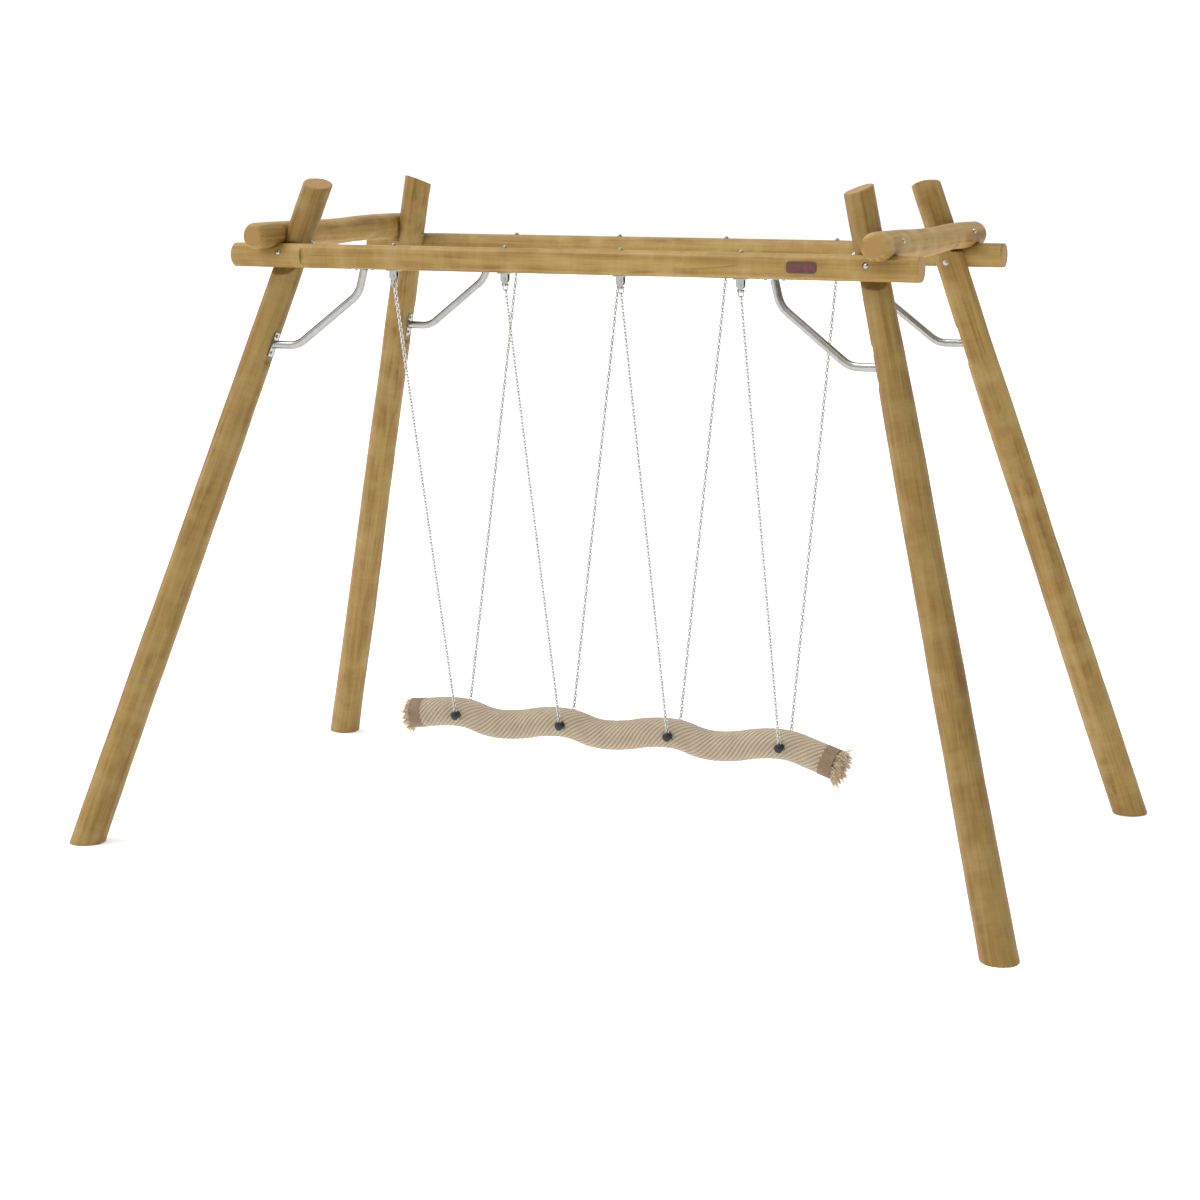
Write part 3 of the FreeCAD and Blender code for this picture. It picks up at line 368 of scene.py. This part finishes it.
def satin_steel(name, colour, roughness, dull):
    """Satin stainless steel: bright, with uneven gloss from drawing and handling."""
    material, tree, shader = material_for(name)
    place = add(tree, "TexCoord").outputs["Object"]
    smear = add(tree, "TexNoise", {"Vector": place, "Scale": per_metre(HANDLING_MM), "Detail": 4.0,
                                   "Roughness": 0.6}).outputs["Fac"]
    lines = add(tree, "TexNoise", {"Vector": place, "Scale": per_metre(DRAW_LINE_MM), "Detail": 2.0}).outputs["Fac"]
    tint = add(tree, "MapRange", {"Value": smear, "From Min": 0.3, "From Max": 0.7, "To Min": dull,
                                  "To Max": 1.0}).outputs[0]
    bright = add(tree, "VectorMath", {0: linear(colour)[:3], "Scale": tint}, operation="SCALE").outputs[0]
    tree.links.new(bright, shader.inputs["Base Color"])
    shader.inputs["Metallic"].default_value = 1.0
    gloss = add(tree, "MapRange", {"Value": smear, "To Min": roughness - 0.08, "To Max": roughness + 0.12}).outputs[0]
    tree.links.new(gloss, shader.inputs["Roughness"])
    bump = add(tree, "Bump", {"Height": lines, "Strength": 0.08, "Distance": 0.0004}).outputs["Normal"]
    tree.links.new(bump, shader.inputs["Normal"])
    return material


def finish_node(node, material):
    """Gives a CAD node its finish."""
    mesh = frame["nodes"][node].data
    mesh.materials.clear()
    mesh.materials.append(material)


tube_steel = satin_steel("satin stainless tube", STEEL_TUBE, 0.22, 0.80)
fitting_steel = satin_steel("turned and forged stainless fittings", STEEL_FITTING, 0.26, 0.80)
chain_steel = satin_steel("tumbled stainless chain", STEEL_CHAIN, 0.22, 0.80)
for corner in ("front_left", "front_right", "rear_left", "rear_right"):
    finish_node("brace_" + corner, tube_steel)
for node in ("brace_leg_plates", "brace_beam_plates", "brace_leg_screws", "brace_beam_screws"):
    finish_node(node, fitting_steel)
for joint in ("leg_beam", "cross_log"):
    for part in ("bolts", "nuts", "washers"):
        finish_node(f"{joint}_{part}", fitting_steel)
for part in ("brackets", "pins", "bolts", "dome_nuts", "washers"):
    finish_node("hanger_" + part, fitting_steel)
for number in (1, 2, 3, 4):
    for part in ("hanger_eyes", "top_shackles", "seat_eyes"):
        finish_node(f"{part}_{number}", fitting_steel)
    finish_node(f"chain_front_{number}", chain_steel)
    finish_node(f"chain_rear_{number}", chain_steel)


# Rope seat
# One thick laid rope of eighteen beige strands over a core, pulled up into a wave by its
# four bolts. The strands wrap round it at about 45 degrees and the bolts' washers dent it.

ROPE_R = 0.0703  # over the strands' crowns
ROPE_STRANDS = 18
STRAND_SPACING = 0.0239  # along the rope
STRAND_GROOVE = 0.0048
ROPE_SAG = 0.039
CREST_LEAD = 0.025  # each crest stands this far left of its bolt
FALL_RUN = 0.228  # crest to the dip on its right
LEFT_SLOPE = math.radians(7.5)
RIGHT_SLOPE = math.radians(17.5)
LEFT_OVERHANG = 0.258  # outer bolt out to the end of the band
RIGHT_OVERHANG = 0.245
ROPE_RING_STEP = 0.003
ROPE_SIDES = 216
DENT_INNER_R = 0.023
DENT_OUTER_R = 0.038
DENT_FACE_Y = 0.0652
YARN_MM = 3.2
FIBRE_MM = 2.6
SOILING_MM = 70.0
SKIN_INSET = 0.004  # the strands end just inside the bands
# The crown colour is painted light on the strands' tops; the groove colour is painted shade in the valleys between
# strands.
ROPE_PAINTED_CROWN_LIGHT = "#BDAD96"
ROPE_MID = "#B0A089"
ROPE_PAINTED_VALLEY_SHADE = "#221A10"


swing_joints = [joint for joint in frame["joints"] if joint["name"].startswith("swing_")]
bolt_xs = sorted(joint["pos_m"][0] for joint in swing_joints)
bolt_spacing = bolt_xs[1] - bolt_xs[0]
seat_joint = next(joint for joint in frame["joints"] if joint["name"] == "seat_level")
crest_z = seat_joint["pos_m"][2]
first_crest = bolt_xs[0] - CREST_LEAD
last_crest = bolt_xs[-1] - CREST_LEAD


def rope_height(x):
    """Height of the rope's axis: two arcs from each crest to each dip, and straight ends."""
    if first_crest <= x <= last_crest:
        place = (x - first_crest) % bolt_spacing
        run, from_crest = (FALL_RUN, place) if place <= FALL_RUN else (bolt_spacing - FALL_RUN, bolt_spacing - place)
        bend = (run ** 2 + ROPE_SAG ** 2) / (4 * ROPE_SAG)
        if from_crest <= run / 2:
            return crest_z - bend + math.sqrt(bend ** 2 - from_crest ** 2)
        return crest_z - ROPE_SAG + bend - math.sqrt(bend ** 2 - (run - from_crest) ** 2)
    run, slope, beyond = (FALL_RUN, RIGHT_SLOPE, x - last_crest) if x > 0 else (
        bolt_spacing - FALL_RUN, LEFT_SLOPE, first_crest - x)
    bend = (run ** 2 + ROPE_SAG ** 2) / (4 * ROPE_SAG)
    if beyond <= bend * math.sin(slope):
        return crest_z - bend + math.sqrt(bend ** 2 - beyond ** 2)
    return crest_z - bend * (1 - math.cos(slope)) - (beyond - bend * math.sin(slope)) * math.tan(slope)


def rope_slope(x):
    return math.atan2(rope_height(x + 0.0005) - rope_height(x - 0.0005), 0.001)


def rope_point(x, radius, turn):
    """A point round the rope's axis: turn 0 is the top and a quarter turn is the front."""
    slope = rope_slope(x)
    up = Vector((-math.sin(slope), 0, math.cos(slope)))
    return Vector((x, 0, rope_height(x))) + up * (radius * math.cos(turn)) - Vector((0, radius * math.sin(turn), 0))


def laid_rope():
    """Laid polyamide rope over a core: dull, hairy strands, with painted light on their crowns and painted shade in the
    valleys between them.
    """
    material, tree, shader = material_for("laid beige rope")
    lay = add(tree, "Attribute", attribute_name="lay")
    parts = add(tree, "SeparateXYZ", {0: lay.outputs["Vector"]}).outputs
    across, along = parts[0], parts[1]
    place = add(tree, "TexCoord").outputs["Object"]
    edge_share = add(tree, "Math", {0: across}, operation="ABSOLUTE").outputs[0]
    # Painted light on each strand's crown, fading to nearly black painted shade in the valleys between strands.
    crown_light_and_valley_shade = add(tree, "ValToRGB", {"Fac": edge_share},
                 stops=[(0.0, ROPE_PAINTED_CROWN_LIGHT), (0.40, ROPE_MID), (0.60, ROPE_MID), (0.86, ROPE_PAINTED_VALLEY_SHADE)]).outputs["Color"]
    yarn_turn = add(tree, "Math", {0: along, 1: 2 * math.pi * per_metre(YARN_MM)}, operation="MULTIPLY").outputs[0]
    yarn_lean = add(tree, "Math", {0: across, 1: 2.6, 2: yarn_turn}, operation="MULTIPLY_ADD").outputs[0]
    yarn = add(tree, "Math", {0: yarn_lean}, operation="SINE").outputs[0]
    fibre = add(tree, "TexNoise", {"Vector": place, "Scale": per_metre(FIBRE_MM), "Detail": 4.0,
                                   "Roughness": 0.7}).outputs["Fac"]
    soiling = add(tree, "TexNoise", {"Vector": place, "Scale": per_metre(SOILING_MM), "Detail": 3.0}).outputs["Fac"]
    fibre_shade = add(tree, "MapRange", {"Value": fibre, "From Min": 0.25, "From Max": 0.75, "To Min": 0.80,
                                         "To Max": 1.12}).outputs[0]
    yarn_shade = add(tree, "MapRange", {"Value": yarn, "From Min": -1.0, "To Min": 0.93, "To Max": 1.04}).outputs[0]
    soil_shade = add(tree, "MapRange", {"Value": soiling, "From Min": 0.3, "From Max": 0.7, "To Min": 0.90,
                                        "To Max": 1.05}).outputs[0]
    shade = add(tree, "Math", {0: fibre_shade, 1: yarn_shade}, operation="MULTIPLY").outputs[0]
    shade = add(tree, "Math", {0: shade, 1: soil_shade}, operation="MULTIPLY").outputs[0]
    colour = add(tree, "VectorMath", {0: crown_light_and_valley_shade, "Scale": shade}, operation="SCALE").outputs[0]
    tree.links.new(colour, shader.inputs["Base Color"])
    shader.inputs["Roughness"].default_value = 0.88
    shader.inputs["Specular IOR Level"].default_value = 0.2
    shader.inputs["Sheen Weight"].default_value = 0.25
    height = add(tree, "Math", {0: yarn, 1: 0.35, 2: fibre}, operation="MULTIPLY_ADD").outputs[0]
    bump = add(tree, "Bump", {"Height": height, "Strength": 0.5, "Distance": 0.0012}).outputs["Normal"]
    tree.links.new(bump, shader.inputs["Normal"])
    return material


def rope_surface(start_x, end_x):
    """The rope's strands as one closed skin, with their valleys and the washers' dents."""
    rings = round((end_x - start_x) / ROPE_RING_STEP)
    points, lays = [], []
    travelled = 0.0
    for i in range(rings + 1):
        x = start_x + (end_x - start_x) * i / rings
        slope = rope_slope(x)
        travelled += ROPE_RING_STEP / math.cos(slope)
        near = min(abs(x - bolt) for bolt in bolt_xs)
        for k in range(ROPE_SIDES):
            turn = 2 * math.pi * k / ROPE_SIDES
            phase = travelled / STRAND_SPACING + ROPE_STRANDS * turn / (2 * math.pi)
            across = 2 * (phase % 1.0) - 1
            crown = math.sqrt(max(0.0, 1 - 0.92 * across * across))
            wobble = 0.0007 * noise.noise(Vector((x * 60, turn * 4, phase // 1 * 0.37)))
            radius = ROPE_R - STRAND_GROOVE * (1 - crown) + wobble
            point = rope_point(x, radius, turn)
            if near < DENT_OUTER_R and abs(point.y) > DENT_FACE_Y - 0.012:
                nearest = min(bolt_xs, key=lambda bolt: abs(point.x - bolt))
                off = math.hypot(point.x - nearest, point.z - crest_z)
                ease = min(1.0, max(0.0, (off - DENT_INNER_R) / (DENT_OUTER_R - DENT_INNER_R)))
                limit = DENT_FACE_Y + (ROPE_R - DENT_FACE_Y) * ease * ease * (3 - 2 * ease)
                point.y = math.copysign(min(abs(point.y), limit), point.y)
            points.append(point)
            lays.append((across, travelled, turn))
    faces = []
    for i in range(rings):
        for k in range(ROPE_SIDES):
            after = (k + 1) % ROPE_SIDES
            a = i * ROPE_SIDES
            b = a + ROPE_SIDES
            faces.append((a + k, a + after, b + after, b + k))
    for ring, flip in ((0, False), (rings, True)):
        ring_x = start_x if ring == 0 else end_x
        centre = len(points)
        points.append(rope_point(ring_x, 0.0, 0.0))
        lays.append((1.0, 0.0, 0.0))
        for k in range(ROPE_SIDES):
            pair = (ring * ROPE_SIDES + k, ring * ROPE_SIDES + (k + 1) % ROPE_SIDES)
            faces.append((pair[0], pair[1], centre) if flip else (pair[1], pair[0], centre))
    mesh = bpy.data.meshes.new("rope")
    mesh.from_pydata(points, [], faces)
    mesh.attributes.new("lay", "FLOAT_VECTOR", "POINT").data.foreach_set("vector", np.array(lays).ravel())
    mesh.polygons.foreach_set("use_smooth", [True] * len(mesh.polygons))
    return mesh


rope_fibre = laid_rope()
left_end_x = bolt_xs[0] - LEFT_OVERHANG
right_end_x = bolt_xs[-1] + RIGHT_OVERHANG
rope_mesh = rope_surface(left_end_x + SKIN_INSET, right_end_x - SKIN_INSET)
rope_mesh.materials.append(rope_fibre)
rope = bpy.data.objects.new("laid_rope", rope_mesh)
scene.collection.objects.link(rope)
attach(rope, "rope_seat")
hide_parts("rope_body")


# Bands and frayed ends
# A brown binding band is pressed round the rope near each end. Past it the strands are
# left to open out into a short brush of twisted, tan yarns.

BAND_L = 0.060
BAND_R = 0.0712
BAND_LIP = 0.0022
BAND_TEETH = 0.0035  # how far the band's inner edge follows the strands
BAND_BROWN = "#826C52"
BAND_DARK = "#765F48"
TUFTS = 110
YARNS_IN_TUFT = 8
YARN_R = 0.0011
LEFT_FRAY = (0.036, 0.062)
RIGHT_FRAY = (0.042, 0.074)
# Lit and shaded copies of the yarn's colour: the tan is painted light and the brown is painted shade.
FRAY_PAINTED_LIGHT_TAN = "#E2CFAE"
FRAY_PAINTED_SHADE = "#9C8260"


def pressed_band():
    """Brown leather-like tape pressed on: matte, with a faint pebble and a cloudy, uneven tone."""
    material, tree, shader = material_for("pressed brown band")
    place = add(tree, "TexCoord").outputs["Object"]
    pebble = add(tree, "TexNoise", {"Vector": place, "Scale": per_metre(4.0), "Detail": 3.0}).outputs["Fac"]
    cloud = add(tree, "TexNoise", {"Vector": place, "Scale": per_metre(30.0), "Detail": 2.0}).outputs["Fac"]
    share = add(tree, "MapRange", {"Value": cloud, "From Min": 0.3, "From Max": 0.7}).outputs[0]
    colour = add(tree, "Mix", {"Factor": share, 6: linear(BAND_DARK), 7: linear(BAND_BROWN)},
                 data_type="RGBA").outputs[2]
    tree.links.new(colour, shader.inputs["Base Color"])
    rough = add(tree, "MapRange", {"Value": pebble, "To Min": 0.55, "To Max": 0.8}).outputs[0]
    tree.links.new(rough, shader.inputs["Roughness"])
    bump = add(tree, "Bump", {"Height": pebble, "Strength": 0.3, "Distance": 0.0008}).outputs["Normal"]
    tree.links.new(bump, shader.inputs["Normal"])
    return material


def loose_yarn():
    """Untwisted natural yarn: dull and hairy, its colour a random mix of a painted-light tan and a painted-shade brown
    for lit fibres and the shade among them.
    """
    material, tree, shader = material_for("loose tan yarn")
    place = add(tree, "TexCoord").outputs["Object"]
    # Random patches of painted light and painted shade over the yarns.
    tone = add(tree, "TexNoise", {"Vector": place, "Scale": per_metre(9.0), "Detail": 3.0}).outputs["Fac"]
    share = add(tree, "MapRange", {"Value": tone, "From Min": 0.35, "From Max": 0.65}).outputs[0]
    colour = add(tree, "Mix", {"Factor": share, 6: linear(FRAY_PAINTED_SHADE), 7: linear(FRAY_PAINTED_LIGHT_TAN)},
                 data_type="RGBA").outputs[2]
    tree.links.new(colour, shader.inputs["Base Color"])
    shader.inputs["Roughness"].default_value = 0.9
    shader.inputs["Sheen Weight"].default_value = 0.3
    return material


def band_mesh(x_end, side):
    """A band with rolled lips, closed against the rope, whose outer edge is at x_end."""
    slope = rope_slope(x_end)
    outward = Vector((math.cos(slope), 0, math.sin(slope))) * side
    centre = Vector((x_end, 0, rope_height(x_end)))
    half = BAND_L / 2
    bulge = [(-half, BAND_R - 0.004), (-half, BAND_R - 0.001), (-half + 0.0015, BAND_R + BAND_LIP * 0.2),
             (-half + 0.004, BAND_R), (-0.012, BAND_R + 0.0004), (0.012, BAND_R + 0.0004), (half - 0.004, BAND_R),
             (half - 0.0015, BAND_R + BAND_LIP * 0.2), (half, BAND_R - 0.001), (half, BAND_R - 0.004)]
    sides = 180
    up = Vector((-math.sin(slope), 0, math.cos(slope)))
    points = []
    for offset, radius in bulge:
        for k in range(sides):
            turn = 2 * math.pi * k / sides
            thick = radius + 0.0006 * math.sin(5 * turn + 40 * offset)
            tooth = BAND_TEETH * math.sin(ROPE_STRANDS * turn) * (offset < 0.01 - half)
            points.append(centre + outward * (offset - half + tooth) + up * (thick * math.cos(turn))
                          - Vector((0, thick * math.sin(turn), 0)))
    faces = []
    for i in range(len(bulge)):
        after_ring = (i + 1) % len(bulge)
        for k in range(sides):
            after = (k + 1) % sides
            quad = (i * sides + k, i * sides + after, after_ring * sides + after, after_ring * sides + k)
            faces.append(quad if side > 0 else quad[::-1])
    mesh = bpy.data.meshes.new("band")
    mesh.from_pydata(points, [], faces)
    mesh.polygons.foreach_set("use_smooth", [True] * len(mesh.polygons))
    return mesh


def yarn_tube(points, faces, path, radius):
    """Adds one tapered four-sided yarn along a path."""
    first = len(points)
    for i, place in enumerate(path):
        ahead = (path[min(i + 1, len(path) - 1)] - path[max(i - 1, 0)]).normalized()
        side = ahead.cross(Vector((0.3, 0.5, 0.81))).normalized()
        other = ahead.cross(side)
        thick = radius * (1 - 0.45 * i / (len(path) - 1))
        for a, b in ((1, 0), (0, 1), (-1, 0), (0, -1)):
            points.append(place + side * (a * thick) + other * (b * thick))
    for i in range(len(path) - 1):
        for k in range(4):
            a = first + 4 * i
            faces.append((a + k, a + (k + 1) % 4, a + 4 + (k + 1) % 4, a + 4 + k))
    last = first + 4 * (len(path) - 1)
    faces.append((first + 3, first + 2, first + 1, first))
    faces.append((last, last + 1, last + 2, last + 3))


def fray_mesh(x_end, side, reaches, seed):
    """A brush of opened yarns, in tufts that lean out from the rope's end."""
    chance = random.Random(seed)
    slope = rope_slope(x_end)
    outward = Vector((math.cos(slope), 0, math.sin(slope))) * side
    up = Vector((-math.sin(slope), 0, math.cos(slope)))
    front = Vector((0, -1, 0))
    root = Vector((x_end, 0, rope_height(x_end))) - outward * 0.006
    points, faces = [], []
    for tuft in range(TUFTS):
        rim = math.sqrt((tuft + 0.5) / TUFTS)
        turn = tuft * 2.39996
        spoke = up * math.cos(turn) + front * math.sin(turn)
        lean = outward + spoke * (0.62 * rim ** 2 + chance.uniform(-0.12, 0.16))
        lean += up * chance.uniform(-0.16, 0.10) + front * chance.uniform(-0.14, 0.14)
        lean.normalize()
        reach = chance.uniform(*reaches)
        curl = chance.uniform(0.002, 0.005)
        for yarn in range(YARNS_IN_TUFT):
            twist = chance.uniform(0, 2 * math.pi)
            spread = up * math.cos(twist) + front * math.sin(twist)
            start = root + spoke * (0.063 * rim) + spread * 0.0035
            length = reach * chance.uniform(0.75, 1.05)
            path = []
            for i in range(7):
                share = i / 6
                swirl = twist + 3.2 * share
                bend = (up * math.cos(swirl) + front * math.sin(swirl)) * curl * share
                droop = Vector((0, 0, -0.010 * share * share))
                path.append(start + lean * (length * share) + bend + spread * (0.005 * share) + droop)
            yarn_tube(points, faces, path, YARN_R * chance.uniform(0.8, 1.25))
    mesh = bpy.data.meshes.new("fray")
    mesh.from_pydata(points, [], faces)
    mesh.polygons.foreach_set("use_smooth", [True] * len(mesh.polygons))
    return mesh


band_tape = pressed_band()
yarn = loose_yarn()
for name, side, x_end, reaches in (("left", -1, left_end_x, LEFT_FRAY), ("right", 1, right_end_x, RIGHT_FRAY)):
    band = bpy.data.objects.new("pressed_band_" + name, band_mesh(x_end, side))
    band.data.materials.append(band_tape)
    scene.collection.objects.link(band)
    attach(band, "rope_seat")
    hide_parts("end_band_" + name)
    brush = bpy.data.objects.new("opened_yarns_" + name, fray_mesh(x_end, side, reaches, 5 + side))
    brush.data.materials.append(yarn)
    scene.collection.objects.link(brush)
    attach(brush, "rope_seat")
    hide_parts("frayed_end_" + name)


# Seat bolts and caps
# A steel bolt crosses the rope under each chain pair, with washers pressed into the rope
# and a black moulded cap snapped over each end.

CAP_BLACK = "#0E0F10"
MOULD_GRAIN_MM = 2.4


def moulded_black(name, colour):
    """Moulded polyamide: black, half matt, with a fine eroded grain."""
    material, tree, shader = material_for(name)
    place = add(tree, "TexCoord").outputs["Object"]
    grain = add(tree, "TexNoise", {"Vector": place, "Scale": per_metre(MOULD_GRAIN_MM), "Detail": 3.0}).outputs["Fac"]
    dust = add(tree, "TexNoise", {"Vector": place, "Scale": per_metre(18.0), "Detail": 3.0}).outputs["Fac"]
    tone = add(tree, "MapRange", {"Value": dust, "From Min": 0.3, "From Max": 0.7, "To Min": 0.8,
                                  "To Max": 1.35}).outputs[0]
    shade = add(tree, "VectorMath", {0: linear(colour)[:3], "Scale": tone}, operation="SCALE").outputs[0]
    tree.links.new(shade, shader.inputs["Base Color"])
    rough = add(tree, "MapRange", {"Value": grain, "To Min": 0.30, "To Max": 0.52}).outputs[0]
    tree.links.new(rough, shader.inputs["Roughness"])
    bump = add(tree, "Bump", {"Height": grain, "Strength": 0.15, "Distance": 0.0004}).outputs["Normal"]
    tree.links.new(bump, shader.inputs["Normal"])
    return material


for part in ("seat_bolts", "seat_washers", "seat_spacers", "cap_washers"):
    finish_node(part, fitting_steel)
finish_node("seat_caps", moulded_black("moulded black cap", CAP_BLACK))


# Plaque
# A dark brown moulded plaque with a blank dark red inlay, screwed to the planed face of
# the front beam.

PLAQUE_BROWN = "#4A342D"
PLAQUE_RED = "#5E2A2A"

finish_node("label_plate", moulded_black("moulded brown plaque", PLAQUE_BROWN))
finish_node("label_inlay", moulded_black("dark red inlay", PLAQUE_RED))
finish_node("label_screws", moulded_black("brown lacquered screw", PLAQUE_BROWN))
